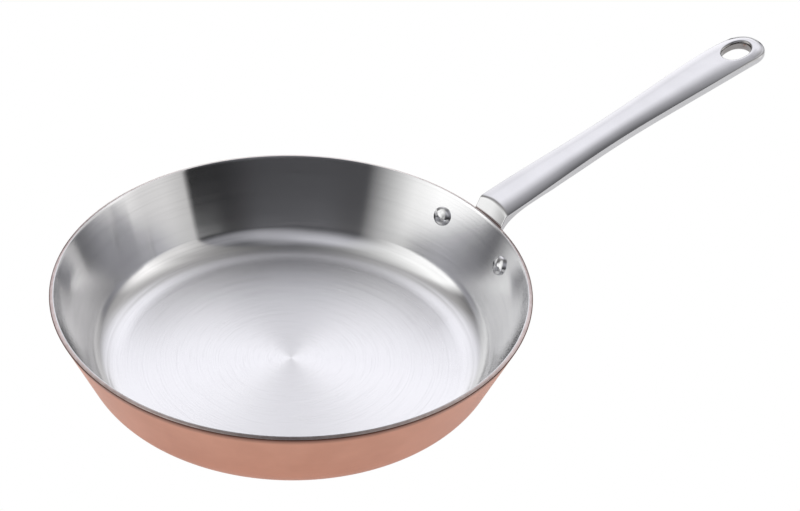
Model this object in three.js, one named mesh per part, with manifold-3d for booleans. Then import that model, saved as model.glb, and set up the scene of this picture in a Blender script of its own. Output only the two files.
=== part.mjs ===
// A copper frying pan with a cast stainless steel handle.
//
// Millimetres, +Z up. The origin is the centre of the base on the surface that the pan stands on,
// and the handle points along +X. The body is three bonded sheets (copper outside, an aluminium
// core, a steel lining). The handle is one casting: a bar with a hanging eye, and a flange that
// hugs the outside of the wall, held by two rivets with button heads inside the pan.

import * as THREE from 'three';
import { mergeVertices } from 'three/addons/utils/BufferGeometryUtils.js';
import Module from 'manifold-3d';

// ---------------------------------------------------------------- driving dimensions

const RIM_RADIUS = 130;                 // outer edge of the cut rim
const RIM_HEIGHT = 50.9;                // height of that outer edge
const WALL_LEAN = THREE.MathUtils.degToRad(24.5);   // wall from the vertical, flaring outwards
const CORNER_RADIUS = 23.5;             // between base and wall, on the outside
const COPPER_THICKNESS = 0.5;
const CORE_THICKNESS = 1.6;
const LINING_THICKNESS = 0.5;

const RIVET_ANGLE = THREE.MathUtils.degToRad(13.4);    // each side of the handle's plane
const RIVET_HEIGHT = 37.8;              // where a rivet's axis crosses the outside of the wall
const SHANK_RADIUS = 3;
const HEAD_RADIUS = 5.4;
const HEAD_HEIGHT = 3;
const TAIL_RADIUS = 5;
const TAIL_HEIGHT = 2.2;

const BAR_ROOT_X = 133.5;               // crest where the bar's top starts, just outside the rim
const BAR_ROOT_Z = 59.2;
const BAR_BEND_X = 222;                 // control point of the bar's gentle downward curve
const BAR_BEND_Z = 87.6;
const BAR_TIP_X = 319.2;
const BAR_TIP_Z = 110.9;
const BAR_THICKNESS = 6.2;
const BAR_CROWN = 1.1;                  // how far the top and the underside arch across the bar
const ROOT_HALF_WIDTH = 12.4;
const WAIST_HALF_WIDTH = 10.4;
const WAIST_X = 207;
const END_RADIUS = 13.2;                // round end about the hanging eye
const EYE_LENGTH = 17.6;
const EYE_WIDTH = 14.6;
const EYE_TO_TIP = 16.7;                // from the eye's middle to the bar's tip

const FLANGE_THICKNESS = 2.7;
const FLANGE_LOBE_RADIUS = 8.3;         // round each rivet
const FLANGE_DROP = 11;                 // lowest point of the flange below the rivets
const NECK_HALF_WIDTH = 12.4;
const NECK_FOOT_OUT = 1;                // the neck's underside starts this far outside the rim
const NECK_FOOT_DROP = 5.5;             // and this far below it
const NECK_RUN = 31;                    // and meets the bar this far from the crest
const NECK_RISE = 4.6;                  // and this far above it

const FIT_GAP = 0.3;                    // between pieces that bear on each other

const LATHE_SEGMENTS = 64;
const CORNER_STEPS = 5;
const RIVET_SEGMENTS = 24;
const BAR_STEPS = 24;
const CURVE_STEPS = 12;
const CURVE_PULL = 0.4;                 // handles of the outline's curves, as a share of their run

const WALL_THICKNESS = COPPER_THICKNESS + CORE_THICKNESS + LINING_THICKNESS;

// ---------------------------------------------------------------- materials

const copper = new THREE.MeshStandardMaterial({ color: 0xc08a76, roughness: 0.35, metalness: 1 });
const aluminium = new THREE.MeshStandardMaterial({ color: 0xc9c6c4, roughness: 0.4, metalness: 1 });
const brushedSteel = new THREE.MeshStandardMaterial({ color: 0xc4c3c0, roughness: 0.3, metalness: 1 });
const polishedSteel = new THREE.MeshStandardMaterial({ color: 0xdcdcde, roughness: 0.08, metalness: 1 });
const rivetSteel = new THREE.MeshStandardMaterial({ color: 0xcfcfcf, roughness: 0.15, metalness: 1 });

// ---------------------------------------------------------------- solids

const manifold = await Module();
manifold.setup();

// A closed geometry as a manifold solid, its vertices merged by position alone.
function solidFrom(geometry) {
  const bare = geometry.index ? geometry.toNonIndexed() : geometry.clone();
  bare.deleteAttribute('normal');
  bare.deleteAttribute('uv');
  const merged = mergeVertices(bare, 1e-4);
  const corners = merged.index.array;
  const kept = [];
  for (let i = 0; i < corners.length; i += 3) {
    const [a, b, c] = [corners[i], corners[i + 1], corners[i + 2]];
    if (a !== b && b !== c && c !== a) kept.push(a, b, c);
  }
  return new manifold.Manifold(new manifold.Mesh({
    numProp: 3,
    vertProperties: new Float32Array(merged.attributes.position.array),
    triVerts: new Uint32Array(kept),
  }));
}

function geometryFrom(solid) {
  const mesh = solid.getMesh();
  const geometry = new THREE.BufferGeometry();
  geometry.setAttribute('position', new THREE.BufferAttribute(mesh.vertProperties, 3));
  geometry.setIndex(new THREE.BufferAttribute(mesh.triVerts, 1));
  geometry.computeVertexNormals();
  return geometry;
}

// A solid of revolution about +Z from a profile of (radius, height) points.
function revolved(profile, segments) {
  return new THREE.LatheGeometry(profile, segments).rotateX(Math.PI / 2);
}

// A shape in the (x, z) plane, extruded from -halfWidth to +halfWidth along y.
function extrudedAcross(shape, halfWidth, curveSegments = CURVE_STEPS) {
  const options = { depth: 2 * halfWidth, bevelEnabled: false, curveSegments };
  return new THREE.ExtrudeGeometry(shape, options).rotateX(Math.PI / 2).translate(0, halfWidth, 0);
}

// A shape in the (x, y) plane, extruded from low to high along z.
function extrudedUp(shape, low, high, curveSegments = CURVE_STEPS) {
  const options = { depth: high - low, bevelEnabled: false, curveSegments };
  return new THREE.ExtrudeGeometry(shape, options).translate(0, 0, low);
}

// ---------------------------------------------------------------- the clad body

const wallUp = new THREE.Vector2(Math.sin(WALL_LEAN), Math.cos(WALL_LEAN));
const wallOut = new THREE.Vector2(Math.cos(WALL_LEAN), -Math.sin(WALL_LEAN));
const rimEdge = new THREE.Vector2(RIM_RADIUS, RIM_HEIGHT);

// The corner arc touches the base and the wall, so its centre follows from the two.
const climbToCentre = (RIM_HEIGHT - CORNER_RADIUS + CORNER_RADIUS * wallOut.y * -1) / wallUp.y;
const cornerTop = rimEdge.clone().addScaledVector(wallUp, -climbToCentre);
const cornerCentre = cornerTop.clone().addScaledVector(wallOut, -CORNER_RADIUS);

// The surface at a depth inside the outside of the pan, from the axis to the rim.
function surfaceAt(depth) {
  const points = [new THREE.Vector2(0, depth)];
  const radius = CORNER_RADIUS - depth;
  for (let i = 0; i <= CORNER_STEPS; i += 1) {
    const turn = THREE.MathUtils.lerp(-Math.PI / 2, -WALL_LEAN, i / CORNER_STEPS);
    points.push(new THREE.Vector2(
      cornerCentre.x + radius * Math.cos(turn),
      cornerCentre.y + radius * Math.sin(turn),
    ));
  }
  points.push(rimEdge.clone().addScaledVector(wallOut, -depth));
  return points;
}

function sheetBetween(outerDepth, innerDepth) {
  return revolved([...surfaceAt(outerDepth), ...surfaceAt(innerDepth).reverse()], LATHE_SEGMENTS);
}

// ---------------------------------------------------------------- rivets

const rivetFoot = rimEdge.clone().addScaledVector(wallUp, (RIVET_HEIGHT - RIM_HEIGHT) / wallUp.y);

// Puts a geometry made about +Z, with z = 0 on the outside of the wall and +Z pointing into the
// pan, onto the axis of the left (+1) or right (-1) rivet.
function atRivet(geometry, side) {
  return geometry
    .rotateY(-Math.PI / 2 + WALL_LEAN)
    .translate(rivetFoot.x, 0, rivetFoot.y)
    .rotateZ(side * RIVET_ANGLE);
}

function rivetGeometry() {
  const headStart = WALL_THICKNESS + FIT_GAP;
  const tailStart = -FLANGE_THICKNESS - 2 * FIT_GAP;
  const profile = [
    new THREE.Vector2(0, tailStart - TAIL_HEIGHT),
    new THREE.Vector2(TAIL_RADIUS * 0.6, tailStart - TAIL_HEIGHT * 0.85),
    new THREE.Vector2(TAIL_RADIUS, tailStart - TAIL_HEIGHT * 0.3),
    new THREE.Vector2(TAIL_RADIUS, tailStart),
    new THREE.Vector2(SHANK_RADIUS, tailStart),
    new THREE.Vector2(SHANK_RADIUS, headStart),
    new THREE.Vector2(HEAD_RADIUS, headStart),
    new THREE.Vector2(HEAD_RADIUS, headStart + HEAD_HEIGHT * 0.35),
    new THREE.Vector2(HEAD_RADIUS * 0.75, headStart + HEAD_HEIGHT * 0.8),
    new THREE.Vector2(HEAD_RADIUS * 0.35, headStart + HEAD_HEIGHT),
    new THREE.Vector2(0, headStart + HEAD_HEIGHT),
  ];
  return revolved(profile, RIVET_SEGMENTS);
}

function rivetHole(side) {
  const radius = SHANK_RADIUS + FIT_GAP;
  const reach = 12;
  const drill = new THREE.CylinderGeometry(radius, radius, 2 * reach, RIVET_SEGMENTS);
  return solidFrom(atRivet(drill.rotateX(Math.PI / 2), side));
}

function withRivetHoles(solid) {
  return [1, -1].reduce((rest, side) => rest.subtract(rivetHole(side)), solid);
}

// ---------------------------------------------------------------- handle

// The bar's top along its middle, seen from the side.
const barTop = new THREE.QuadraticBezierCurve(
  new THREE.Vector2(BAR_ROOT_X, BAR_ROOT_Z),
  new THREE.Vector2(BAR_BEND_X, BAR_BEND_Z),
  new THREE.Vector2(BAR_TIP_X, BAR_TIP_Z),
);

// The bar before its outline is cut: an arched section swept along the bar's middle line, with
// straight run-outs at both ends for the outline and the pan's clearance to trim.
function barSweep() {
  const runOut = 12;
  const middle = barTop.getPoints(BAR_STEPS).map(
    (point) => new THREE.Vector3(point.x, 0, point.y - BAR_THICKNESS / 2),
  );
  const before = middle[0].clone().addScaledVector(
    middle[1].clone().sub(middle[0]).normalize(), -runOut,
  );
  const last = middle.length - 1;
  const after = middle[last].clone().addScaledVector(
    middle[last].clone().sub(middle[last - 1]).normalize(), runOut,
  );
  const path = new THREE.CatmullRomCurve3([before, ...middle, after], false, 'centripetal');
  const spareWidth = 2;
  const half = END_RADIUS + spareWidth;
  const edge = BAR_THICKNESS / 2 - BAR_CROWN * (half / ROOT_HALF_WIDTH) ** 2;
  const section = new THREE.Shape();
  section.moveTo(half, -edge);
  section.lineTo(half, edge);
  section.quadraticCurveTo(0, BAR_THICKNESS - edge, -half, edge);
  section.lineTo(-half, -edge);
  section.quadraticCurveTo(0, -BAR_THICKNESS + edge, half, -edge);
  return new THREE.ExtrudeGeometry(section, {
    steps: BAR_STEPS,
    extrudePath: path,
    curveSegments: CURVE_STEPS / 2,
  });
}

// The bar's outline from above: wide at the root, a waist, and a round end about the eye. Each side
// is the other's mirror image, drawn from the root to the round end.
function barOutline() {
  const overlap = 12;
  const start = RIM_RADIUS - overlap;
  const endX = BAR_TIP_X - END_RADIUS;
  const taper = CURVE_PULL * (WAIST_X - BAR_ROOT_X);
  const flare = CURVE_PULL * (endX - WAIST_X);
  const shape = new THREE.Shape();
  shape.moveTo(start, -ROOT_HALF_WIDTH);
  shape.lineTo(BAR_ROOT_X, -ROOT_HALF_WIDTH);
  shape.bezierCurveTo(
    BAR_ROOT_X + taper, -ROOT_HALF_WIDTH,
    WAIST_X - taper, -WAIST_HALF_WIDTH,
    WAIST_X, -WAIST_HALF_WIDTH,
  );
  shape.bezierCurveTo(
    WAIST_X + flare, -WAIST_HALF_WIDTH,
    endX - flare, -END_RADIUS,
    endX, -END_RADIUS,
  );
  shape.absarc(endX, 0, END_RADIUS, -Math.PI / 2, Math.PI / 2, false);
  shape.bezierCurveTo(
    endX - flare, END_RADIUS,
    WAIST_X + flare, WAIST_HALF_WIDTH,
    WAIST_X, WAIST_HALF_WIDTH,
  );
  shape.bezierCurveTo(
    WAIST_X - taper, WAIST_HALF_WIDTH,
    BAR_ROOT_X + taper, ROOT_HALF_WIDTH,
    BAR_ROOT_X, ROOT_HALF_WIDTH,
  );
  shape.lineTo(start, ROOT_HALF_WIDTH);
  shape.closePath();
  return shape;
}

function eyeCutter() {
  const straight = (EYE_LENGTH - EYE_WIDTH) / 2;
  const shape = new THREE.Shape();
  shape.absarc(straight, 0, EYE_WIDTH / 2, -Math.PI / 2, Math.PI / 2, false);
  shape.absarc(-straight, 0, EYE_WIDTH / 2, Math.PI / 2, 3 * Math.PI / 2, false);
  const slope = Math.atan2(BAR_TIP_Z - BAR_BEND_Z, BAR_TIP_X - BAR_BEND_X);
  const reach = 15;
  return extrudedUp(shape, -reach, reach)
    .rotateY(-slope)
    .translate(BAR_TIP_X - EYE_TO_TIP, 0, BAR_TIP_Z - BAR_THICKNESS);
}

// The neck under the bar's root, seen from the side: the underside sweeps down into the flange.
// Its other sides lie inside the bar and the pan's clearance.
function neckSide() {
  const overlap = 8;
  const inside = RIM_RADIUS - overlap;
  const foot = new THREE.Vector2(RIM_RADIUS + NECK_FOOT_OUT, RIM_HEIGHT - NECK_FOOT_DROP);
  const merge = new THREE.Vector2(BAR_ROOT_X + NECK_RUN, BAR_ROOT_Z + NECK_RISE);
  const footPull = new THREE.Vector2(4, 9);
  const mergePull = new THREE.Vector2(-22, -6);
  const shape = new THREE.Shape();
  shape.moveTo(inside, foot.y - overlap / 2);
  shape.lineTo(foot.x, foot.y);
  shape.bezierCurveTo(
    foot.x + footPull.x, foot.y + footPull.y,
    merge.x + mergePull.x, merge.y + mergePull.y,
    merge.x, merge.y,
  );
  shape.lineTo(merge.x, merge.y + 2);
  shape.lineTo(BAR_ROOT_X + 4, BAR_ROOT_Z - 1);
  shape.lineTo(inside, BAR_ROOT_Z - 4);
  shape.closePath();
  return shape;
}

// The flange, seen along the handle, in (y, z): a lobe round each rivet and a neck between them.
function flangeOutline() {
  const y = rivetFoot.x * Math.sin(RIVET_ANGLE);
  const lobe = FLANGE_LOBE_RADIUS;
  const lobeTop = RIVET_HEIGHT + lobe;
  const lowest = RIVET_HEIGHT - FLANGE_DROP;
  const filletRadius = 1;
  const shape = new THREE.Shape();
  shape.moveTo(-NECK_HALF_WIDTH, RIM_HEIGHT);
  shape.lineTo(-NECK_HALF_WIDTH, lobeTop + filletRadius);
  shape.quadraticCurveTo(-NECK_HALF_WIDTH - filletRadius, lobeTop, -y, lobeTop);
  shape.absarc(-y, RIVET_HEIGHT, lobe, Math.PI / 2, 3 * Math.PI / 2, false);
  shape.quadraticCurveTo(0, 2 * lowest - (RIVET_HEIGHT - lobe), y, RIVET_HEIGHT - lobe);
  shape.absarc(y, RIVET_HEIGHT, lobe, -Math.PI / 2, Math.PI / 2, false);
  shape.quadraticCurveTo(NECK_HALF_WIDTH + filletRadius, lobeTop, NECK_HALF_WIDTH, lobeTop + filletRadius);
  shape.lineTo(NECK_HALF_WIDTH, RIM_HEIGHT);
  shape.closePath();
  return shape;
}

function flangeSolid() {
  const inner = rimEdge.clone().addScaledVector(wallOut, FIT_GAP);
  const outer = rimEdge.clone().addScaledVector(wallOut, FIT_GAP + FLANGE_THICKNESS);
  const drop = -34;
  const profile = [
    inner.clone().addScaledVector(wallUp, drop),
    outer.clone().addScaledVector(wallUp, drop),
    outer,
    inner,
    inner.clone().addScaledVector(wallUp, drop),
  ];
  const shell = solidFrom(revolved(profile, LATHE_SEGMENTS));
  const reach = 1.2 * RIM_RADIUS;
  const prism = new THREE.ExtrudeGeometry(flangeOutline(), {
    depth: reach,
    bevelEnabled: false,
    curveSegments: CURVE_STEPS,
  });
  // The outline's own (x, y) become the pan's (y, z), and its depth runs along +X.
  prism.rotateX(Math.PI / 2).rotateZ(Math.PI / 2);
  return shell.intersect(solidFrom(prism));
}

// Everything that the handle has to stay clear of: the pan itself, and the wall's cone carried on
// above the rim, which leaves the facet at the front of the bar.
function panClearance() {
  const gap = rimEdge.clone().addScaledVector(wallOut, FIT_GAP);
  const low = cornerTop.clone().addScaledVector(wallOut, FIT_GAP);
  const lift = 20;
  return solidFrom(revolved([
    new THREE.Vector2(0, 0),
    new THREE.Vector2(low.x, 0),
    low,
    gap.clone().addScaledVector(wallUp, lift),
    new THREE.Vector2(0, gap.y + lift * wallUp.y),
  ], LATHE_SEGMENTS));
}

function handleSolid() {
  const outline = solidFrom(extrudedUp(barOutline(), 0, 2 * BAR_TIP_Z));
  const bar = solidFrom(barSweep()).subtract(solidFrom(eyeCutter()));
  const neck = solidFrom(extrudedAcross(neckSide(), NECK_HALF_WIDTH));
  const whole = bar.add(neck).intersect(outline).subtract(panClearance()).add(flangeSolid());
  return withRivetHoles(whole);
}

// ---------------------------------------------------------------- the object

function piece(name, geometry, material) {
  const mesh = new THREE.Mesh(geometry, material);
  mesh.name = name;
  return mesh;
}

const body = new THREE.Group();
const sheets = [
  ['copper_skin', 0, COPPER_THICKNESS, copper],
  ['aluminium_core', COPPER_THICKNESS, COPPER_THICKNESS + CORE_THICKNESS, aluminium],
  ['steel_lining', COPPER_THICKNESS + CORE_THICKNESS, WALL_THICKNESS, brushedSteel],
];
for (const [name, outerDepth, innerDepth, material] of sheets) {
  const sheet = withRivetHoles(solidFrom(sheetBetween(outerDepth, innerDepth)));
  body.add(piece(name, geometryFrom(sheet), material));
}

const handle = new THREE.Group();
handle.add(piece('handle', geometryFrom(handleSolid()), polishedSteel));
for (const [name, side] of [['rivet_left', 1], ['rivet_right', -1]]) {
  handle.add(piece(name, atRivet(rivetGeometry(), side), rivetSteel));
}

const pan = new THREE.Group();
pan.add(body, handle);

export default pan;
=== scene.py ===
"""A copper frying pan with a cast steel handle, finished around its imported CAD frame.

Shapes are worked out in millimetres in the frame's own axes: the origin is the middle of the base
on the floor, +Z is up and the handle points along +X. Meshes are scaled to metres when made.
"""

import math

import bmesh
import bpy
from mathutils import Matrix, Vector

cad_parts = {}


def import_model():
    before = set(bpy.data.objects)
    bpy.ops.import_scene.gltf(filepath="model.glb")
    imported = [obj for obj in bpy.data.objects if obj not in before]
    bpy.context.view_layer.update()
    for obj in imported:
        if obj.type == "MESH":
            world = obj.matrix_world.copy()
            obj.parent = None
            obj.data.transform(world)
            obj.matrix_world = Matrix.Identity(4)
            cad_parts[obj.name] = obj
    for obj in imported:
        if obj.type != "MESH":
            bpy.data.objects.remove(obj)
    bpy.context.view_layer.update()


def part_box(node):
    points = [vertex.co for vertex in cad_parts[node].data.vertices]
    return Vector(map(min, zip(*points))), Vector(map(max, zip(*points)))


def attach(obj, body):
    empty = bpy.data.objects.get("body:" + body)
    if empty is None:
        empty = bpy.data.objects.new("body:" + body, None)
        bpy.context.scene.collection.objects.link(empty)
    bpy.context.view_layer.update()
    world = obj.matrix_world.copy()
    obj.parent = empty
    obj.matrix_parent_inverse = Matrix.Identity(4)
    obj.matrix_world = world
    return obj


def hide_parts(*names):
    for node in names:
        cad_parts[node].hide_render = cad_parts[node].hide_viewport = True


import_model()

MM = 0.001

# ------------------------------------------------------------------ sizes read from the frame


def box_mm(node):
    """A CAD node's lowest and highest corners in millimetres."""
    low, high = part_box(node)
    return low / MM, high / MM


skin_low, skin_high = box_mm("copper_skin")
core_low, _ = box_mm("aluminium_core")
lining_low, _ = box_mm("steel_lining")
_, handle_high = box_mm("handle")

# ------------------------------------------------------------------ driving dimensions

WALL_LEAN = math.radians(24.5)
CORNER_RADIUS = 23.5
LINING_THICKNESS = 0.5
COPPER_THICKNESS = core_low.z - skin_low.z
CORE_THICKNESS = lining_low.z - core_low.z
SHEET_THICKNESS = COPPER_THICKNESS + CORE_THICKNESS + LINING_THICKNESS
COPPER_LIP_ROUND = 0.16           # the rounded edges of the rim, outside and inside
LINING_LIP_ROUND = 0.2
SEAM_ROUND = 0.02                 # the sheets' edges where two of them meet at the rim

RIVET_ANGLE = math.radians(13.4)  # each side of the handle's plane
RIVET_HEIGHT = 37.8               # where a rivet's axis crosses the outside of the wall
SHANK_RADIUS = 3
HOLE_RADIUS = 3.1
DRILL_REACH = 9                   # how far a hole's drill goes each way from the wall's outside

RIM_RADIUS = skin_high.x
RIM_HEIGHT = skin_high.z - COPPER_THICKNESS * math.sin(WALL_LEAN)

RIDGE_RADIUS = 100.7              # the slight ridge round the edge of the cooking floor
RIDGE_HEIGHT = 0.16
RIDGE_INNER_WIDTH = 1.6
RIDGE_OUTER_WIDTH = 3.5

LATHE_SEGMENTS = 288
DRILL_SEGMENTS = 48
FLOOR_STEPS = 13
CORNER_STEPS = 56
WALL_STEPS = 24
RIM_STEPS = 5

# ------------------------------------------------------------------ meshes


def mesh_object(name, points, faces, smooth_angle=32):
    """A mesh object in metres from millimetre points, smooth but for edges over an angle."""
    mesh = bpy.data.meshes.new(name)
    mesh.from_pydata([Vector(p) * MM for p in points], [], faces)
    mesh.validate()
    mesh.shade_smooth()
    mesh.set_sharp_from_angle(angle=math.radians(smooth_angle))
    made = bpy.data.objects.new(name, mesh)
    bpy.context.scene.collection.objects.link(made)
    return made


def lathe(name, profile, segments, place=None, smooth_angle=32):
    """A solid of revolution about Z from (radius, height) points, which start and end on the axis
    or close on themselves. place is a matrix in millimetres."""
    place = place or Matrix.Identity(4)
    on_axis = profile[0][0] == 0
    points, rows = [], []
    for radius, height in profile:
        if radius == 0:
            rows.append([len(points)] * segments)
            points.append(place @ Vector((0, 0, height)))
            continue
        rows.append(list(range(len(points), len(points) + segments)))
        for i in range(segments):
            turn = 2 * math.pi * i / segments
            ring_point = Vector((radius * math.cos(turn), radius * math.sin(turn), height))
            points.append(place @ ring_point)
    pairs = list(zip(rows, rows[1:]))
    if not on_axis:
        pairs.append((rows[-1], rows[0]))
    faces = []
    for low, high in pairs:
        for i in range(segments):
            j = (i + 1) % segments
            corners = [low[i], low[j], high[j], high[i]]
            faces.append(list(dict.fromkeys(corners)))
    return mesh_object(name, points, faces, smooth_angle)


# ------------------------------------------------------------------ the clad body

wall_up = Vector((math.sin(WALL_LEAN), math.cos(WALL_LEAN)))
wall_out = Vector((math.cos(WALL_LEAN), -math.sin(WALL_LEAN)))
rim_edge = Vector((RIM_RADIUS, RIM_HEIGHT))
# The corner starts this far down the wall from the rim, so that its arc just touches the floor.
corner_climb = (RIM_HEIGHT - CORNER_RADIUS * (1 + wall_out.y)) / wall_up.y
corner_top = rim_edge - wall_up * corner_climb
corner_centre = corner_top - wall_out * CORNER_RADIUS


def surface_at(depth):
    """The (radius, height) line at a depth inside the outside of the pan, from the axis outwards."""
    radius = CORNER_RADIUS - depth
    line = []
    for step in range(FLOOR_STEPS):
        line.append(Vector((corner_centre.x * step / FLOOR_STEPS, depth)))
    for step in range(CORNER_STEPS + 1):
        turn = -math.pi / 2 + (math.pi / 2 - WALL_LEAN) * step / CORNER_STEPS
        line.append(corner_centre + radius * Vector((math.cos(turn), math.sin(turn))))
    top = rim_edge - wall_out * depth
    foot = line[-1]
    for step in range(1, WALL_STEPS + 1):
        line.append(foot.lerp(top, step / WALL_STEPS))
    return line


def rim_rounding(depth, radius, side):
    """Points that round the rim's edge at a depth. side is +1 for the outer edge."""
    top = rim_edge - wall_out * depth
    centre = top - wall_up * radius - wall_out * radius * side
    turned = []
    for step in range(RIM_STEPS + 1):
        turn = math.pi / 2 * step / RIM_STEPS
        across = wall_out * radius * side * math.cos(turn)
        turned.append(centre + across + wall_up * radius * math.sin(turn))
    return turned


def spun_ridge(radius):
    """Height that the ridge round the cooking floor adds at a radius."""
    off = radius - RIDGE_RADIUS
    width = RIDGE_OUTER_WIDTH if off > 0 else RIDGE_INNER_WIDTH
    return RIDGE_HEIGHT * math.exp(-abs(off) / width)


def sheet(name, outer_depth, inner_depth, outer_round, inner_round, ridged=False):
    """One bonded sheet. Its outline goes out along its outside, over the rim, and back inside."""
    outside = surface_at(outer_depth)[:-1] + rim_rounding(outer_depth, outer_round, 1)
    inside = surface_at(inner_depth)[:-1] + rim_rounding(inner_depth, inner_round, -1)
    if ridged:
        for point in inside:
            point.y += spun_ridge(point.x)
    profile = outside + inside[::-1]
    return lathe(name, [tuple(p) for p in profile], LATHE_SEGMENTS)


# ------------------------------------------------------------------ rivet holes


def rivet_place(side):
    """From a rivet's own frame, with +Z into the pan from the outside of the wall, to the pan's.
    side is +1 for the rivet at +y."""
    foot = rim_edge + wall_up * ((RIVET_HEIGHT - RIM_HEIGHT) / wall_up.y)
    lean = Matrix.Rotation(WALL_LEAN - math.pi / 2, 4, "Y")
    turn = Matrix.Rotation(side * RIVET_ANGLE, 4, "Z")
    return turn @ Matrix.Translation((foot.x, 0, foot.y)) @ lean


def drill_rivet_holes(made):
    """Applies the object's modifiers and cuts both rivet holes through it."""
    drills = []
    for side in (1, -1):
        bottom = [(0, -DRILL_REACH), (HOLE_RADIUS, -DRILL_REACH)]
        top = [(HOLE_RADIUS, DRILL_REACH), (0, DRILL_REACH)]
        drill = lathe("drill", bottom + top, DRILL_SEGMENTS, rivet_place(side))
        cut = made.modifiers.new("rivet_hole", "BOOLEAN")
        cut.operation = "DIFFERENCE"
        cut.solver = "EXACT"
        cut.object = drill
        drills.append(drill)
    graph = bpy.context.evaluated_depsgraph_get()
    whole = made.data
    made.data = bpy.data.meshes.new_from_object(made.evaluated_get(graph))
    made.modifiers.clear()
    bpy.data.meshes.remove(whole)
    for drill in drills:
        bpy.data.meshes.remove(drill.data)


# ------------------------------------------------------------------ materials


def new_material(name):
    """A material with its nodes, its links and its shader."""
    material = bpy.data.materials.new(name)
    material.use_nodes = True
    nodes, links = material.node_tree.nodes, material.node_tree.links
    return material, nodes, links, nodes["Principled BSDF"]


def new_metal(name):
    material, nodes, links, shader = new_material(name)
    shader.inputs["Metallic"].default_value = 1
    return material, nodes, links, shader


def object_position(nodes):
    return nodes.new("ShaderNodeTexCoord").outputs["Object"]


def set_inputs(links, made, values):
    """Fills a node's first inputs. Each value is a socket to link, or a constant."""
    for socket, value in zip(made.inputs, values):
        if isinstance(value, bpy.types.NodeSocket):
            links.new(value, socket)
        else:
            socket.default_value = value


def maths(nodes, links, operation, *values):
    made = nodes.new("ShaderNodeMath")
    made.operation = operation
    set_inputs(links, made, values)
    return made.outputs[0]


def vector_maths(nodes, links, operation, *values):
    made = nodes.new("ShaderNodeVectorMath")
    made.operation = operation
    set_inputs(links, made, values)
    return made.outputs["Value" if operation == "LENGTH" else "Vector"]


def scaled(nodes, links, vector, scale):
    """A vector times a number. Each is a socket or a constant."""
    made = nodes.new("ShaderNodeVectorMath")
    made.operation = "SCALE"
    set_inputs(links, made, [vector])
    if isinstance(scale, bpy.types.NodeSocket):
        links.new(scale, made.inputs["Scale"])
    else:
        made.inputs["Scale"].default_value = scale
    return made.outputs["Vector"]


def split(nodes, links, vector):
    """The X, Y and Z of a vector."""
    made = nodes.new("ShaderNodeSeparateXYZ")
    links.new(vector, made.inputs[0])
    return made.outputs


def spun_coordinates(nodes, links, along, across):
    """A vector that changes slowly along the turning marks of a spun piece and quickly across
    them: its first two parts go round the axis, and the third runs from the middle out and up the
    wall. The distance from the axis is returned as well."""
    position = object_position(nodes)
    flat = vector_maths(nodes, links, "MULTIPLY", position, (1, 1, 0))
    radius = vector_maths(nodes, links, "LENGTH", flat)
    heading = vector_maths(nodes, links, "NORMALIZE", flat)
    run = maths(nodes, links, "ADD", radius, split(nodes, links, position)["Z"])
    slow = split(nodes, links, scaled(nodes, links, heading, along))
    joined = nodes.new("ShaderNodeCombineXYZ")
    set_inputs(links, joined, [slow["X"], slow["Y"], maths(nodes, links, "MULTIPLY", run, across)])
    return joined.outputs[0], radius


def noise(nodes, links, vector, detail, scale=1.0, roughness=0.6):
    made = nodes.new("ShaderNodeTexNoise")
    made.inputs["Scale"].default_value = scale
    made.inputs["Detail"].default_value = detail
    made.inputs["Roughness"].default_value = roughness
    links.new(vector, made.inputs["Vector"])
    return made.outputs["Fac"]


def ramp(nodes, links, value, stops):
    """A colour ramp of (position, colour) stops."""
    made = nodes.new("ShaderNodeValToRGB")
    links.new(value, made.inputs[0])
    elements = made.color_ramp.elements
    while len(elements) < len(stops):
        elements.new(0.5)
    for element, (position, colour) in zip(elements, stops):
        element.position = position
        element.color = (*colour, 1)
    return made.outputs[0]


def spread(nodes, links, value, low, high):
    """Maps a 0 to 1 value onto low to high."""
    made = nodes.new("ShaderNodeMapRange")
    made.inputs["To Min"].default_value = low
    made.inputs["To Max"].default_value = high
    links.new(value, made.inputs["Value"])
    return made.outputs[0]


def add_bump(nodes, links, shader, height, strength, distance):
    """Bumps the surface by a 0 to 1 height. distance is in millimetres."""
    made = nodes.new("ShaderNodeBump")
    made.inputs["Strength"].default_value = strength
    made.inputs["Distance"].default_value = distance * MM
    links.new(height, made.inputs["Height"])
    links.new(made.outputs[0], shader.inputs["Normal"])


def show_to_camera(nodes, links, lit, shown, output):
    """Gives the camera what is shown, and lighting and reflections what is lit."""
    path = nodes.new("ShaderNodeLightPath")
    mix = nodes.new("ShaderNodeMixShader")
    set_inputs(links, mix, [path.outputs["Is Camera Ray"], lit, shown])
    links.new(mix.outputs[0], nodes[output].inputs[0])


FLOOR_BRUSHED_TO = 96             # between these radii the floor's roughness turns into the wall's
WALL_BRUSHED_FROM = 104
LIP_PAINTED_SHADE_DEPTH = 0.4              # painted shade darkens the copper's cut lip from this far below the rim
LIP_PAINTED_SHADE_BLEND = 0.3


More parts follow.
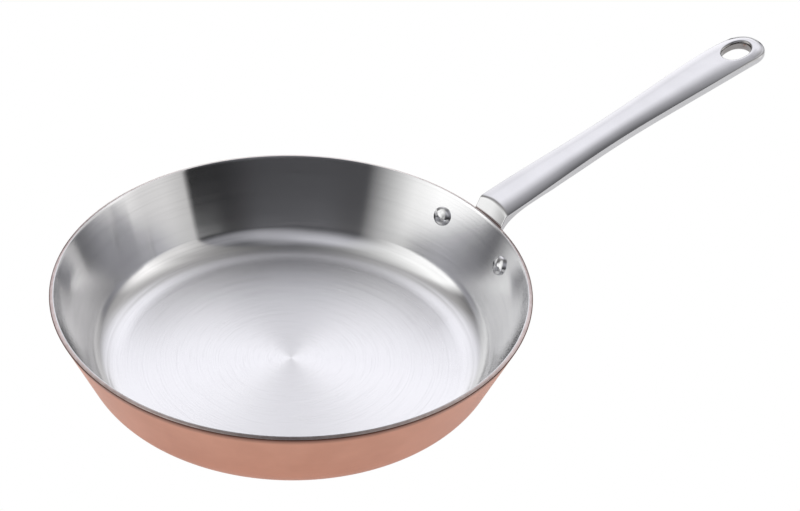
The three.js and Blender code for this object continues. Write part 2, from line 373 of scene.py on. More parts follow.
def spun_steel():
    """The lining: steel brushed round and round, so that highlights smear up the wall and out
    across the floor."""
    material, nodes, links, shader = new_metal("spun_steel")
    shader.inputs["Anisotropic"].default_value = 1.0
    shader.inputs["Anisotropic Rotation"].default_value = 0.25
    tangent = nodes.new("ShaderNodeTangent")
    tangent.direction_type = "RADIAL"
    tangent.axis = "Z"
    links.new(tangent.outputs[0], shader.inputs["Tangent"])
    fine, radius = spun_coordinates(nodes, links, along=2.5, across=2600)
    marks = noise(nodes, links, fine, detail=4)
    broad, _ = spun_coordinates(nodes, links, along=1.3, across=620)
    bands = noise(nodes, links, broad, detail=4, roughness=0.7)
    streaks = maths(nodes, links, "ADD", bands, marks)
    colour = ramp(nodes, links, streaks, [(0.75, (0.71, 0.71, 0.72)), (1.0, (0.77, 0.77, 0.78))])
    links.new(colour, shader.inputs["Base Color"])
    change = [(FLOOR_BRUSHED_TO * MM, (0, 0, 0)), (WALL_BRUSHED_FROM * MM, (1, 1, 1))]
    rough = nodes.new("ShaderNodeMix")
    links.new(ramp(nodes, links, radius, change), rough.inputs["Factor"])
    links.new(spread(nodes, links, bands, 0.22, 0.30), rough.inputs["A"])
    links.new(spread(nodes, links, bands, 0.10, 0.125), rough.inputs["B"])
    links.new(rough.outputs["Result"], shader.inputs["Roughness"])
    add_bump(nodes, links, shader, marks, strength=0.12, distance=0.01)
    return material


def satin_copper():
    """The outside: softly brushed copper, a little uneven in colour, with painted shade darkening its
    cut lip.
    """
    material, nodes, links, shader = new_metal("satin_copper")
    fine, _ = spun_coordinates(nodes, links, along=3, across=1800)
    marks = noise(nodes, links, fine, detail=3)
    position = object_position(nodes)
    patches = noise(nodes, links, position, detail=3, scale=28)
    colour = ramp(nodes, links, patches, [(0.3, (0.64, 0.33, 0.235)), (0.7, (0.72, 0.385, 0.28))])
    # Painted shade: the base colour turns into a dark line along the top of the lip.
    lip = (RIM_HEIGHT - LIP_PAINTED_SHADE_DEPTH) * MM
    painted_lip_shade = [(lip, (1, 1, 1)), (lip + LIP_PAINTED_SHADE_BLEND * MM, (0.17, 0.14, 0.14))]
    edge = ramp(nodes, links, split(nodes, links, position)["Z"], painted_lip_shade)
    colour_with_painted_shade = vector_maths(nodes, links, "MULTIPLY", colour, edge)
    links.new(colour_with_painted_shade, shader.inputs["Base Color"])
    links.new(spread(nodes, links, marks, 0.32, 0.46), shader.inputs["Roughness"])
    add_bump(nodes, links, shader, marks, strength=0.2, distance=0.02)
    return material


def cut_core():
    """The core's edge on the cut rim, with fine marks of the cutting."""
    material, nodes, links, shader = new_metal("cut_core")
    fine, _ = spun_coordinates(nodes, links, along=30, across=900)
    marks = noise(nodes, links, fine, detail=3)
    colour = ramp(nodes, links, marks, [(0.3, (0.62, 0.51, 0.49)), (0.7, (0.80, 0.70, 0.68))])
    links.new(colour, shader.inputs["Base Color"])
    links.new(spread(nodes, links, marks, 0.12, 0.22), shader.inputs["Roughness"])
    return material


def body():
    core_depth = COPPER_THICKNESS
    lining_depth = COPPER_THICKNESS + CORE_THICKNESS
    copper = sheet("copper_outside", 0, core_depth, COPPER_LIP_ROUND, SEAM_ROUND)
    core = sheet("core_sheet", core_depth, lining_depth, SEAM_ROUND, SEAM_ROUND)
    lining_rounds = (SEAM_ROUND, LINING_LIP_ROUND)
    lining = sheet("spun_lining", lining_depth, SHEET_THICKNESS, *lining_rounds, ridged=True)
    for made, node, slot, material in (
        (copper, "copper_skin", "copper", satin_copper()),
        (core, "aluminium_core", "core", cut_core()),
        (lining, "steel_lining", "lining", spun_steel()),
    ):
        made.data.materials.append(material)
        drill_rivet_holes(made)
        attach(made, "root")
        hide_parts(node)


body()

# ------------------------------------------------------------------ the handle

FIT_GAP = 0.12                    # the flange and the facet stand this far off the wall
BAR_ROOT_X = 133.5                # where the bar's top starts
BAR_ROOT_EDGE_Z = 57.6            # height of the top's side edge there
BAR_ROOT_SLOPE = 0.322
BAR_SAG = 1.62e-4                 # the bar's lengthwise curve, falling away from a straight line
DROOP_START = 280                 # the end about the eye bows down from here
DROOP = 2.2
DROOP_LENGTH = 37.6
TOP_CROWN = 1.6
TOP_CROWN_POWER = 2.4             # over 2, so that the crown is flatter in its middle
UNDER_CROWN = 0.8
BAND_HEIGHT = 4.25                # side face of the bar
BAND_AT_NECK = 3.6
BAND_NECK_LENGTH = 25             # how far from the neck's start the band grows to its height
BAND_AT_TIP = 4.2
BAND_TIP_START_X = 275            # from here, over this length, it changes to its height at the tip
BAND_TIP_LENGTH = 48
ROOT_HALF_WIDTH = 12.5
WAIST_X = 209
WAIST_HALF_WIDTH = 10.45
END_HALF_WIDTH = 13.4
END_WIDTH_X = 300                 # the bar has its end's width from here on
TIP_PAST_CAD = 0.9                # the tip is this far past the CAD handle's
HANDLE_TIP_X = handle_high.x + TIP_PAST_CAD
END_LENGTH = 13.2                 # from the round end's centre to the tip
END_CENTRE_X = HANDLE_TIP_X - END_LENGTH
END_ROUNDNESS = 2.2               # superellipse power of the round end
RING_X = 286                      # the bar's rows end here and rings about the eye begin
EYE_X = 303
EYE_HALF_LENGTH = 9.0
EYE_HALF_WIDTH = 7.0
EYE_ROUNDNESS = 2.1               # superellipse power of the eye
EYE_EDGE = 1.5
BAR_EDGE = 0.4
END_EDGE = 1.5                    # the edges are rounder about the end
END_UNDER_EDGE = 1.1
EDGE_CHANGE_LENGTH = 26           # how far past RING_X the edges reach that roundness
END_FALL = 1.5                    # how far the top rolls down past the eye to the tip
END_FALL_LATENESS = 2.5           # over 1, so that it rolls down late, near the edge
END_FALL_NARROWNESS = 1.5         # over 1, so that it rolls down mostly straight towards the tip
SIDE_BULGE = 0.12
BULGE_SHARE = 0.6                 # the bulge is this far down the side

NECK_START_X = 165                # the underside leaves the bar here and turns down
NECK_SIDE_LEAD = 15               # it goes this far on in the bar's line before it turns, at its
NECK_MIDDLE_LEAD = 20             # sides and in its middle
NECK_SIDE_LIFT = 1                # its sides are this much higher where they start to turn
NECK_SIDE_BEND = (136, 57.5)      # (x, z) that the turn is drawn towards
NECK_MIDDLE_BEND = (134.5, 49)
NECK_FOOT_SIDE = (131.0, 47.4)    # where the neck's underside reaches the flange, at its sides
NECK_FOOT_MIDDLE = (126.2, 33.5)
NECK_ROUNDNESS = 1.3              # how fast the middle's line gives way to the sides' line
NECK_CURVE_RATE = 1.6             # how soon down the neck its underside curves as the wall does
CREST_ROUND = 1.5
FACET_SLOPE = 0.5                 # how fast the facet leaves the axis as it climbs

FLANGE_THICKNESS = 2.7
FLANGE_DEPTH = FIT_GAP + FLANGE_THICKNESS
FLANGE_BOTTOM_Z = 28.1
FLANGE_START_Z = 47.6             # where the neck's sides begin to spread into the flange
FLANGE_THINNING = 1.5             # how soon down the flange the neck's extra thickness is gone
LOBE_RADIUS = 8.3
WING_RISE_TOP = 3.2               # how early a wing's top and bottom rows reach the lobe's heights
WING_RISE_BOTTOM = 1.4
WING_THINNING = 4                 # how soon across a wing the neck's extra thickness is gone

BAR_ROWS = 40
NECK_TOP_ROWS = 11
CREST_ROWS = 5
FACET_ROWS = 5
FLANGE_ROWS = 12
END_POINTS = 36

COLUMNS = [-1, -0.95, -0.84, -0.68, -0.5, -0.33, -0.16, 0, 0.16, 0.33, 0.5, 0.68, 0.84, 0.95, 1]
LAST_COLUMN = len(COLUMNS) - 1


def ease(t):
    """0 to 1 with level ends."""
    t = min(max(t, 0), 1)
    return (1 - math.cos(math.pi * t)) / 2


def mixed(low, high, t):
    return low + (high - low) * t


def half_width(x):
    """Half the bar's width, without its round end."""
    if x < WAIST_X:
        return mixed(ROOT_HALF_WIDTH, WAIST_HALF_WIDTH, ease((x - BAR_ROOT_X) / (WAIST_X - BAR_ROOT_X)))
    return mixed(WAIST_HALF_WIDTH, END_HALF_WIDTH, ease((x - WAIST_X) / (END_WIDTH_X - WAIST_X)))


def edge_height(x):
    """Height of the top's side edge along the bar."""
    run = x - BAR_ROOT_X
    height = BAR_ROOT_EDGE_Z + BAR_ROOT_SLOPE * run - BAR_SAG * run * run
    beyond = max(0, x - DROOP_START) / DROOP_LENGTH
    return height - DROOP * beyond * beyond


def top_height(x, y):
    share = min(1, abs(y) / half_width(x))
    return edge_height(x) + TOP_CROWN * (1 - share ** TOP_CROWN_POWER)


def under_height(x, y):
    share = min(1, abs(y) / half_width(x))
    band = mixed(BAND_AT_NECK, BAND_HEIGHT, ease((x - NECK_START_X) / BAND_NECK_LENGTH))
    band += (BAND_AT_TIP - BAND_HEIGHT) * ease((x - BAND_TIP_START_X) / BAND_TIP_LENGTH)
    return edge_height(x) - band - UNDER_CROWN * (1 - share ** 2)


def edge_round(x):
    """Radius of the top's rounded edge along the bar."""
    return mixed(BAR_EDGE, END_EDGE, ease((x - RING_X) / EDGE_CHANGE_LENGTH))


def under_edge_round(x):
    """Height of the underside's rounded edge along the bar."""
    return mixed(BAR_EDGE, END_UNDER_EDGE, ease((x - RING_X) / EDGE_CHANGE_LENGTH))


def eye_edge_round(_):
    """Radius of the eye's rounded edges, the same everywhere."""
    return EYE_EDGE


def wall_radius(z, depth=0.0):
    """Radius of the outside of the wall at a height, plus a thickness measured square to it."""
    return RIM_RADIUS + math.tan(WALL_LEAN) * (z - RIM_HEIGHT) + depth / math.cos(WALL_LEAN)


def facet_radius(z):
    """The handle's face that hugs the wall, and carries on above the rim at its own slope."""
    if z < RIM_HEIGHT:
        return wall_radius(z, FIT_GAP)
    return wall_radius(RIM_HEIGHT, FIT_GAP) + FACET_SLOPE * (z - RIM_HEIGHT)


def on_radius(radius, y, z):
    return Vector((math.sqrt(radius * radius - y * y), y, z))


def bezier(points, t):
    """A point on a cubic curve of four (x, z) points."""
    s = 1 - t
    weights = (s * s * s, 3 * s * s * t, 3 * s * t * t, t * t * t)
    return sum((Vector(p) * w for p, w in zip(points, weights)), Vector((0, 0)))


def crest_at(y):
    """Where the facet meets the bar's top at one distance from the middle, found by a few rounds of
    following one to the other."""
    x = BAR_ROOT_X
    for _ in range(12):
        z = top_height(x, y)
        x = on_radius(facet_radius(z), y, z).x
    return Vector((x, y, top_height(x, y)))


def neck_under(y, t):
    """The neck's underside from the bar (t = 0) down to the flange (t = 1)."""
    start_x = NECK_START_X
    start_z = under_height(start_x, y)
    start = (start_x, start_z)
    slope = (under_height(start_x + 1, y) - under_height(start_x - 1, y)) / 2
    share = min(1, abs(y) / ROOT_HALF_WIDTH)
    middle = (1 - share ** 2) ** NECK_ROUNDNESS
    side_lead = (start_x - NECK_SIDE_LEAD, start_z - NECK_SIDE_LEAD * slope + NECK_SIDE_LIFT)
    middle_lead = (start_x - NECK_MIDDLE_LEAD, start_z - NECK_MIDDLE_LEAD * slope)
    side_line = [start, side_lead, NECK_SIDE_BEND, NECK_FOOT_SIDE]
    middle_line = [start, middle_lead, NECK_MIDDLE_BEND, NECK_FOOT_MIDDLE]
    line = [Vector(a).lerp(Vector(b), middle) for a, b in zip(side_line, middle_line)]
    x, z = bezier(line, t)
    radius = facet_radius(z)
    curve = math.sqrt(radius * radius - y * y) - radius
    return Vector((x + curve * ease(t * NECK_CURVE_RATE), y, z))


def bar_rows():
    """x of each row from the ring about the eye back to the neck."""
    return [mixed(RING_X, NECK_START_X, i / BAR_ROWS) for i in range(BAR_ROWS + 1)]


def neck_top_rows(y_share):
    """The inner face of the neck at one column: along the bar's top, over the crest and down the
    facet to the flange, with the crest rounded."""
    y = y_share * (ROOT_HALF_WIDTH - BAR_EDGE)
    crest = crest_at(y)
    points = []
    for i in range(1, NECK_TOP_ROWS + 1):
        x = mixed(NECK_START_X, crest.x + CREST_ROUND, i / NECK_TOP_ROWS)
        y_here = y_share * (half_width(x) - BAR_EDGE)
        points.append(Vector((x, y_here, top_height(x, y_here))))
    start = points[-1]
    z_end = crest.z - CREST_ROUND
    end = on_radius(facet_radius(z_end), y, z_end)
    for i in range(1, CREST_ROWS + 1):
        t = i / CREST_ROWS
        points.append(start.lerp(crest, t).lerp(crest.lerp(end, t), t))
    for i in range(1, FACET_ROWS + 1):
        z = mixed(z_end, FLANGE_START_Z, i / FACET_ROWS)
        points.append(on_radius(facet_radius(z), y, z))
    return points


def central_columns():
    """Matching (inner, outer) rows of points for each column of the bar, the neck and the middle
    of the flange."""
    columns = []
    for share in COLUMNS:
        inner, outer = [], []
        for x in bar_rows():
            y = share * (half_width(x) - BAR_EDGE)
            inner.append(Vector((x, y, top_height(x, y))))
            outer.append(Vector((x, y, under_height(x, y))))
        neck = neck_top_rows(share)
        lengths = [0.0]
        for a, b in zip([inner[-1]] + neck, neck):
            lengths.append(lengths[-1] + (b - a).length)
        y_neck = share * (ROOT_HALF_WIDTH - BAR_EDGE)
        for point, run in zip(neck, lengths[1:]):
            t = run / lengths[-1]
            under = neck_under(y_neck, t)
            under.y = point.y
            inner.append(point)
            outer.append(under)
        foot = outer[-1]
        spare = foot.xy.length - wall_radius(foot.z, FLANGE_DEPTH)
        for i in range(1, FLANGE_ROWS + 1):
            t = i / FLANGE_ROWS
            z = mixed(FLANGE_START_Z, FLANGE_BOTTOM_Z + BAR_EDGE, t)
            inner.append(on_radius(facet_radius(z), y_neck, z))
            z = mixed(foot.z, FLANGE_BOTTOM_Z + BAR_EDGE, t)
            radius = wall_radius(z, FLANGE_DEPTH) + spare * (1 - ease(t * FLANGE_THINNING))
            outer.append(on_radius(radius, y_neck, z))
        columns.append((inner, outer))
    return columns


class Skin:
    """Vertices of the handle's two faces, with a key for each pair, and the faces between them."""

    def __init__(self):
        self.points = []
        self.faces = []
        self.pairs = {}

    def add(self, key, inner, outer):
        self.pairs[key] = (len(self.points), len(self.points) + 1)
        self.points += [inner, outer]

    def quad(self, keys):
        """One quad on the inner face and its turned-over twin on the outer face."""
        self.faces.append([self.pairs[key][0] for key in keys])
        self.faces.append([self.pairs[key][1] for key in reversed(keys)])

    def strip(self, loop, inner_rounds, outer_rounds, bulge, flip):
        """Closes the two faces along a closed loop of keys, with rounded edges. The two edges'
        sizes are functions of x. flip is -1 where the loop goes round a hole."""
        rings = []
        count = len(loop)
        for i, key in enumerate(loop):
            top = self.points[self.pairs[key][0]]
            low = self.points[self.pairs[key][1]]
            before = self.pairs[loop[i - 1]]
            after = self.pairs[loop[(i + 1) % count]]
            along = (self.points[after[0]] - self.points[before[0]]).normalized()
            along += (self.points[after[1]] - self.points[before[1]]).normalized()
            down = (low - top).normalized()
            out = along.cross(down).normalized() * flip
            inner_round = inner_rounds(top.x)
            outer_round = outer_rounds(top.x)
            ring = [self.pairs[key][0]]
            fresh = []
            for turn in (30, 60, 90):
                a = math.radians(turn)
                fresh.append(top + (out * math.sin(a) + down * (1 - math.cos(a))) * inner_round)
            fresh.append(top.lerp(low, BULGE_SHARE) + out * (inner_round + bulge))
            for turn in (90, 60, 30):
                a = math.radians(turn)
                reach = out * (math.sin(a) * outer_round + (inner_round - outer_round) * turn / 90)
                fresh.append(low + reach - down * (1 - math.cos(a)) * outer_round)
            for point in fresh:
                ring.append(len(self.points))
                self.points.append(point)
            ring.append(self.pairs[key][1])
            rings.append(ring)
        for i in range(count):
            here, there = rings[i], rings[(i + 1) % count]
            for a in range(len(here) - 1):
                self.faces.append([here[a], there[a], there[a + 1], here[a + 1]])


def add_central_block(skin):
    columns = central_columns()
    row_count = len(columns[0][0])
    for j, (inner, outer) in enumerate(columns):
        for i in range(row_count):
            skin.add(("block", i, j), inner[i], outer[i])
    for i in range(row_count - 1):
        for j in range(LAST_COLUMN):
            here = [("block", i, j), ("block", i, j + 1)]
            below = [("block", i + 1, j + 1), ("block", i + 1, j)]
            skin.quad(here + below)
    return row_count


def wing_points(skin, side, start, i, share):
    """The inner and outer point of a wing of the flange on row i, at a share of the way from the
    middle block's side to the lobe's rim."""
    column = LAST_COLUMN if side > 0 else 0
    lobe_y = wall_radius(RIVET_HEIGHT) * math.sin(RIVET_ANGLE)
    turn = math.pi / 2 - math.pi * i / FLANGE_ROWS
    end_y = lobe_y + (LOBE_RADIUS * math.cos(RIVET_ANGLE) - BAR_EDGE) * math.cos(turn)
    lobe_height = LOBE_RADIUS * math.cos(WALL_LEAN) - BAR_EDGE
    end_z = RIVET_HEIGHT + lobe_height * math.sin(turn)
    found = []
    for face in (0, 1):
        root = skin.points[skin.pairs[("block", start + i, column)][face]]
        y = mixed(abs(root.y), end_y, share)
        power = mixed(WING_RISE_TOP, WING_RISE_BOTTOM, i / FLANGE_ROWS)
        z = mixed(root.z, end_z, 1 - (1 - share) ** power)
        if face == 0:
            radius = facet_radius(z)
        else:
            extra = root.xy.length - wall_radius(root.z, FLANGE_DEPTH)
            radius = wall_radius(z, FLANGE_DEPTH) + extra * (1 - share) ** WING_THINNING
        found.append(on_radius(radius, y * side, z))
    return found


def add_wing(skin, side, start):
    """Adds the wing on one side and returns the keys of its free edge, from top to bottom."""
    column = LAST_COLUMN if side > 0 else 0
    shares = [0, 0.05, 0.12, 0.22, 0.34, 0.48, 0.62, 0.76, 0.88, 0.96, 1]
    last = len(shares) - 1
    for i in range(FLANGE_ROWS + 1):
        for k, share in enumerate(shares):
            key = ("wing", side, i, k)
            if k == 0:
                skin.pairs[key] = skin.pairs[("block", start + i, column)]
            else:
                skin.add(key, *wing_points(skin, side, start, i, share))
    for i in range(FLANGE_ROWS):
        for k in range(last):
            keys = [("wing", side, i, k), ("wing", side, i, k + 1)]
            keys += [("wing", side, i + 1, k + 1), ("wing", side, i + 1, k)]
            skin.quad(keys if side > 0 else keys[::-1])
    top = [("wing", side, 0, k) for k in range(1, last + 1)]
    tip = [("wing", side, i, last) for i in range(1, FLANGE_ROWS + 1)]
    bottom = [("wing", side, FLANGE_ROWS, k) for k in range(last - 1, 0, -1)]
    return top + tip + bottom


def end_outline():
    """Points round the bar's end, inside its rounded edge, from the +y corner to the -y one."""
    straight = 4
    points = []
    for i in range(1, straight + 1):
        x = mixed(RING_X, END_CENTRE_X, i / straight)
        points.append((x, half_width(x) - edge_round(x)))
    round_count = END_POINTS - 2 * straight
    for i in range(1, round_count):
        turn = math.pi / 2 - math.pi * i / round_count
        c, s = math.cos(turn), math.sin(turn)
        inset = edge_round(END_CENTRE_X + c * END_HALF_WIDTH)
        length = END_LENGTH - inset
        width = END_HALF_WIDTH - inset
        x = END_CENTRE_X + length * abs(c) ** (2 / END_ROUNDNESS)
        y = width * math.copysign(abs(s) ** (2 / END_ROUNDNESS), s)
        points.append((x, y))
    mirrored = [(x, -y) for x, y in points[:straight]]
    return points + mirrored[::-1]


def add_eye_rings(skin):
    """Adds the bar's end as rings about the eye. Returns the keys round the eye and those round
    the end's free edge."""
    outer_keys = [("block", 0, j) for j in range(LAST_COLUMN + 1)]
    outer = [skin.points[skin.pairs[key][0]].xy for key in outer_keys]
    outer += [Vector(p) for p in end_outline()]
    count = len(outer)
    shares = [0, 0.1, 0.26, 0.46, 0.66, 0.84, 0.94, 1]
    last = len(shares) - 1
    for k, edge in enumerate(outer):
        turn = math.atan2(edge.y, edge.x - EYE_X)
        c, s = math.cos(turn), math.sin(turn)
        length = EYE_HALF_LENGTH + EYE_EDGE
        width = EYE_HALF_WIDTH + EYE_EDGE
        power = EYE_ROUNDNESS
        reach = 1 / ((abs(c) / length) ** power + (abs(s) / width) ** power) ** (1 / power)
        eye = Vector((EYE_X + reach * c, reach * s))
        for m, share in enumerate(shares):
            key = ("ring", k, m)
            if m == last and k < len(outer_keys):
                skin.pairs[key] = skin.pairs[outer_keys[k]]
                continue
            x, y = eye.lerp(edge, share)
            fall = END_FALL * share ** END_FALL_LATENESS * max(0, c) ** END_FALL_NARROWNESS
            top = Vector((x, y, top_height(x, y) - fall))
            skin.add(key, top, Vector((x, y, under_height(x, y))))
    for k in range(count):
        n = (k + 1) % count
        for m in range(last):
            skin.quad([("ring", n, m), ("ring", k, m), ("ring", k, m + 1), ("ring", n, m + 1)])
    eye_loop = [("ring", k, 0) for k in range(count)]
    end_loop = [("ring", k, last) for k in range(len(outer_keys), count)]
    return eye_loop, end_loop


def handle_mesh():
    skin = Skin()
    row_count = add_central_block(skin)
    start = row_count - 1 - FLANGE_ROWS
    right = add_wing(skin, -1, start)
    left = add_wing(skin, 1, start)
    eye_loop, end_loop = add_eye_rings(skin)
    down = [("block", i, 0) for i in range(start + 1)]
    across = [("block", row_count - 1, j) for j in range(LAST_COLUMN + 1)]
    up = [("block", i, LAST_COLUMN) for i in range(start, -1, -1)]
    outside_loop = down + right + across + left[::-1] + up + end_loop
    skin.strip(outside_loop, edge_round, under_edge_round, SIDE_BULGE, 1)
    skin.strip(eye_loop, eye_edge_round, eye_edge_round, 0, -1)
    made = mesh_object("cast_handle", skin.points, skin.faces, smooth_angle=180)
    fix = bmesh.new()
    fix.from_mesh(made.data)
    bmesh.ops.recalc_face_normals(fix, faces=fix.faces)
    fix.to_mesh(made.data)
    fix.free()
    smoothing = made.modifiers.new("smooth", "SUBSURF")
    smoothing.levels = 1
    smoothing.render_levels = 1
    return made


def polished_steel():
    """The casting's polish, with painted shade darkening and browning the base colour inside the
    hanging eye.
    """
    material, nodes, links, shader = new_metal("polished_steel")
    position = object_position(nodes)
    patches = noise(nodes, links, position, detail=3, scale=40)
    colour = ramp(nodes, links, patches, [(0.3, (0.58, 0.58, 0.59)), (0.7, (0.63, 0.63, 0.64))])
    # Painted shade: inside the eye the base colour is darkened, because its wall lies in shade.
    from_eye = vector_maths(nodes, links, "SUBTRACT", position, (EYE_X * MM, 0, 0))
    half_share = (0.5 / (EYE_HALF_LENGTH * MM), 0.5 / (EYE_HALF_WIDTH * MM), 0)
    eye_share = vector_maths(nodes, links, "MULTIPLY", from_eye, half_share)
    reach = vector_maths(nodes, links, "LENGTH", eye_share)     # 0.5 at the eye's edge
    inside = ramp(nodes, links, reach, [(0.51, (0.5, 0.48, 0.46)), (0.57, (1, 1, 1))])
    colour_with_painted_shade = vector_maths(nodes, links, "MULTIPLY", colour, inside)
    links.new(colour_with_painted_shade, shader.inputs["Base Color"])
    links.new(spread(nodes, links, patches, 0.07, 0.13), shader.inputs["Roughness"])
    return material


def handle():
    made = handle_mesh()
    made.data.materials.append(polished_steel())
    drill_rivet_holes(made)
    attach(made, "root")
    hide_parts("handle")


handle()

# ------------------------------------------------------------------ rivets

HEAD_RADIUS = 5.4
HEAD_HEIGHT = 2.9
HEAD_FOOT_EDGE = 0.12             # the small bevel where the head meets the lining
SHOULDER_HEIGHT = 0.75            # centre of the arc that turns the side into the shoulder
SHOULDER_RADIUS = 0.9
SHOULDER_TURN = 48                # degrees that the arc turns through
SHOULDER_SWELL = Vector((0.1, 0.16))    # how far out the slope from there to the dome swells
DOME_RADIUS = HEAD_RADIUS * 0.47
DOME_HEIGHT = 0.42
TAIL_RADIUS = 5
TAIL_HEIGHT = 2.2
TAIL_SIDE = 0.4                   # the tail's dome starts this far out from the flange
TAIL_EDGE = 0.1                   # the small bevel at the tail's foot
RIVET_CLEARANCE = 0.05
RIVET_SEGMENTS = 64


def arc(centre, radius, start, end, steps):
    """Points on a circle between two angles in degrees."""
    turns = [math.radians(mixed(start, end, i / steps)) for i in range(steps + 1)]
    return [(centre[0] + radius * math.cos(a), centre[1] + radius * math.sin(a)) for a in turns]


def head_profile(base):
    """The button head from the shank to the axis: a short upright side, a sloping shoulder and a
    domed middle, each rounded into the next."""
    edge = HEAD_FOOT_EDGE
    side = [(SHANK_RADIUS, base), (HEAD_RADIUS - edge, base), (HEAD_RADIUS, base + edge)]
    centre = (HEAD_RADIUS - SHOULDER_RADIUS, base + SHOULDER_HEIGHT)
    shoulder = arc(centre, SHOULDER_RADIUS, 0, SHOULDER_TURN, 6)
    start = Vector(shoulder[-1])
    end = Vector((DOME_RADIUS, base + (HEAD_HEIGHT - DOME_HEIGHT)))
    slope = []
    for share in (0.25, 0.5, 0.75, 1):
        slope.append(tuple(start.lerp(end, share) + SHOULDER_SWELL * math.sin(math.pi * share)))
    dome = []
    for i in range(1, 7):
        share = 1 - i / 6
        dome.append((DOME_RADIUS * share, base + HEAD_HEIGHT - DOME_HEIGHT * share ** 2))
    return side + shoulder + slope + dome


def tail_profile(base):
    """The hammered end outside the flange, from the axis to the shank."""
    top = base - TAIL_HEIGHT
    dome = []
    for i in range(9):
        turn = math.pi / 2 * i / 8
        dome.append((TAIL_RADIUS * math.sin(turn), mixed(base - TAIL_SIDE, top, math.cos(turn))))
    foot = [(TAIL_RADIUS, base - TAIL_EDGE), (TAIL_RADIUS - TAIL_EDGE, base), (SHANK_RADIUS, base)]
    return dome + foot


def rivet_steel():
    """Polished steel with shallow dents."""
    material, nodes, links, shader = new_metal("rivet_steel")
    position = object_position(nodes)
    dents = noise(nodes, links, position, detail=2, scale=420)
    grain = noise(nodes, links, position, detail=4, scale=2500)
    colour = ramp(nodes, links, dents, [(0.3, (0.62, 0.62, 0.63)), (0.7, (0.72, 0.72, 0.73))])
    links.new(colour, shader.inputs["Base Color"])
    links.new(spread(nodes, links, grain, 0.07, 0.15), shader.inputs["Roughness"])
    add_bump(nodes, links, shader, dents, strength=0.35, distance=0.12)
    return material


def rivets():
    material = rivet_steel()
    head = head_profile(SHEET_THICKNESS + RIVET_CLEARANCE)
    tail = tail_profile(-FLANGE_DEPTH - RIVET_CLEARANCE)
    for side, node in ((1, "rivet_left"), (-1, "rivet_right")):
        profile = tail + head
        made = lathe(f"{node}_button", profile, RIVET_SEGMENTS, rivet_place(side), smooth_angle=40)
        made.data.materials.append(material)
        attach(made, "root")
        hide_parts(node)


rivets()

# ------------------------------------------------------------------ studio

FLOOR_REACH = 4000
FLOOR_DROP = 0.2                  # the floor lies this far under the base
FLOOR_GLOW = 0.4

STUDIO_AZIMUTH = math.radians(-32.1)
VIEW_AZIMUTH = math.radians(-35.08)
VIEW_AIM = Vector((0.067, -0.0045, 0.05))     # in metres, as the distance is
VIEW_ELEVATION = math.radians(35.33)
VIEW_DISTANCE = 1.3978
VIEW_ROLL = math.radians(2.42)
LENS = 114.3


def camera():
    back = Vector((
        math.sin(VIEW_AZIMUTH) * math.cos(VIEW_ELEVATION),
        -math.cos(VIEW_AZIMUTH) * math.cos(VIEW_ELEVATION),
        math.sin(VIEW_ELEVATION),
    ))
    data = bpy.data.cameras.new("camera")
    data.lens = LENS
    data.sensor_width = 36
    made = bpy.data.objects.new("camera", data)
    made.location = VIEW_AIM + back * VIEW_DISTANCE
    aim = (-back).to_track_quat("-Z", "Y").to_matrix().to_4x4()
    roll = Matrix.Rotation(VIEW_ROLL, 4, "Z")
    made.rotation_mode = "QUATERNION"
    made.rotation_quaternion = (aim @ roll).to_quaternion()
    bpy.context.scene.collection.objects.link(made)
    bpy.context.scene.camera = made


def floor():
    """A pale floor that the camera sees as plain white."""
    corners = [(-1, -1), (1, -1), (1, 1), (-1, 1)]
    points = [(x * FLOOR_REACH, y * FLOOR_REACH, -FLOOR_DROP) for x, y in corners]
    made = mesh_object("floor", points, [(0, 1, 2, 3)])
    material, nodes, links, shader = new_material("floor_paper")
    shader.inputs["Base Color"].default_value = (0.8, 0.8, 0.8, 1)
    shader.inputs["Roughness"].default_value = 0.9
    shader.inputs["Emission Color"].default_value = (1, 1, 1, 1)
    shader.inputs["Emission Strength"].default_value = FLOOR_GLOW
    white = nodes.new("ShaderNodeEmission")
    show_to_camera(nodes, links, shader.outputs[0], white.outputs[0], "Material Output")
    made.data.materials.append(material)


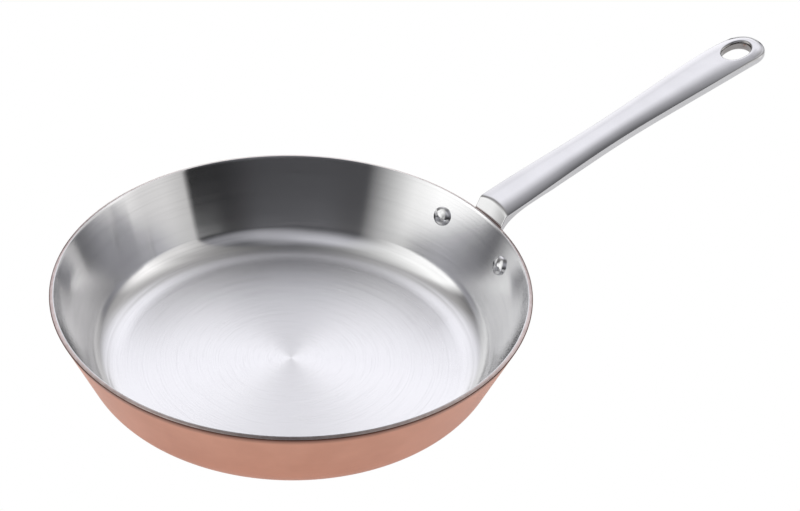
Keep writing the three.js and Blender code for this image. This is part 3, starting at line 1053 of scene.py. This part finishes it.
# The room by direction, as soft sectors. Each has a tint, its brightness at (elevation in degrees,
# level) stops, and its share at (azimuth in degrees, share) stops. Azimuth 0 is the dark end
# behind the camera, and azimuths grow towards the camera's right.
ROOM_BRIGHTNESS = 1.39
ROOM = (
    # The dark end. It is paler above about 25 degrees, and paler in its left half.
    (
        (0.98, 0.98, 1.04),
        ((0, 0.04), (15, 0.05), (22, 0.07), (32, 0.2), (44, 0.42), (60, 0.52), (76, 0.18), (90, 0.07)),
        ((-62, 0), (-36, 1), (-10, 0.9), (20, 0.3), (38, 0)),
    ),
    (
        (0.98, 0.98, 1.04),
        ((0, 0.003), (15, 0.003), (21, 0.06), (28, 0.23), (44, 0.24), (62, 0.1), (76, 0.13),
         (90, 0.07)),
        ((-10, 0), (20, 1), (51.5, 1), (53, 0)),
    ),
    # A tall soft light on each side.
    (
        (1, 1, 0.985),
        ((0, 0.85), (12, 0.97), (24, 0.78), (34, 0.85), (62, 0.44), (76, 0.18), (90, 0.07)),
        ((-110, 0), (-99, 1.15), (-74, 1.1), (-60, 0.87), (-36, 0)),
    ),
    (
        (1, 0.985, 0.97),
        ((0, 0.66), (12, 0.78), (28, 0.78), (45, 0.5), (60, 0.32), (76, 0.18), (90, 0.07)),
        ((51.5, 0), (53, 0.6), (64, 0.82), (76, 0.88), (89, 1.25), (98, 1.1), (112, 0)),
    ),
    # The dim gaps between the side lights and the backdrop.
    (
        (1, 0.98, 0.97),
        ((0, 0.6), (15, 0.3), (35, 0.4), (60, 0.3), (76, 0.14), (90, 0.07)),
        ((98, 0), (112, 1), (122, 1), (150, 0)),
    ),
    (
        (1, 0.98, 0.97),
        ((0, 0.3), (15, 0.13), (35, 0.32), (60, 0.3), (76, 0.14), (90, 0.07)),
        ((-150, 0), (-122, 1), (-110, 1), (-99, 0)),
    ),
    # The pale backdrop, with the dark ceiling above it and a brighter patch low in its middle.
    (
        (0.975, 0.97, 1.02),
        ((0, 0.02), (4, 0.04), (9, 0.3), (25, 0.72), (38, 0.96), (50, 1), (64, 0.45), (78, 0.15),
         (90, 0.07)),
        ((122, 0), (150, 1), (180, 1)),
    ),
    (
        (0.975, 0.97, 1.02),
        ((0, 0.02), (4, 0.04), (9, 0.42), (25, 0.74), (38, 0.96), (50, 1), (64, 0.45), (78, 0.15),
         (90, 0.07)),
        ((-180, 1), (-150, 1), (-122, 0)),
    ),
    (
        (1, 0.99, 1),
        ((0, 0), (5, 0), (9, 0.6), (22, 0.45), (34, 0)),
        ((150, 0), (168, 1), (180, 1)),
    ),
    (
        (1, 0.99, 1),
        ((0, 0), (5, 0), (9, 0.6), (22, 0.45), (34, 0)),
        ((-180, 1), (-168, 1), (-150, 0)),
    ),
)


def grey_ramp(nodes, links, value, stops, low, high):
    """A ramp of (place, level) stops, whose places are on a scale from low to high."""
    greys = [((place - low) / (high - low), (level, level, level)) for place, level in stops]
    return ramp(nodes, links, value, greys)


def world():
    """The studio's walls and lights as a sky, turned so that its dark end is behind the camera."""
    made = bpy.data.worlds.new("studio")
    made.use_nodes = True
    bpy.context.scene.world = made
    nodes, links = made.node_tree.nodes, made.node_tree.links
    direction = nodes.new("ShaderNodeTexCoord")
    turned = nodes.new("ShaderNodeVectorRotate")
    turned.rotation_type = "Z_AXIS"
    turned.inputs["Angle"].default_value = -STUDIO_AZIMUTH
    links.new(direction.outputs["Generated"], turned.inputs["Vector"])
    parts = split(nodes, links, turned.outputs[0])
    climb = maths(nodes, links, "ARCSINE", parts["Z"])
    elevation = maths(nodes, links, "DIVIDE", climb, math.pi / 2)
    ahead = maths(nodes, links, "MULTIPLY", parts["Y"], -1)
    turn = maths(nodes, links, "ARCTAN2", parts["X"], ahead)
    azimuth = maths(nodes, links, "MULTIPLY_ADD", turn, 0.5 / math.pi, 0.5)
    total = None
    for tint, rise, sweep in ROOM:
        level = grey_ramp(nodes, links, elevation, rise, 0, 90)
        share = grey_ramp(nodes, links, azimuth, sweep, -180, 180)
        part = scaled(nodes, links, tint, maths(nodes, links, "MULTIPLY", level, share))
        total = part if total is None else vector_maths(nodes, links, "ADD", total, part)
    room = nodes["Background"]
    room.inputs["Strength"].default_value = ROOM_BRIGHTNESS
    links.new(total, room.inputs["Color"])
    white = nodes.new("ShaderNodeBackground")
    white.inputs["Color"].default_value = (1, 1, 1, 1)
    show_to_camera(nodes, links, room.outputs[0], white.outputs[0], "World Output")


camera()
world()
floor()

bpy.context.scene.view_settings.view_transform = "Standard"
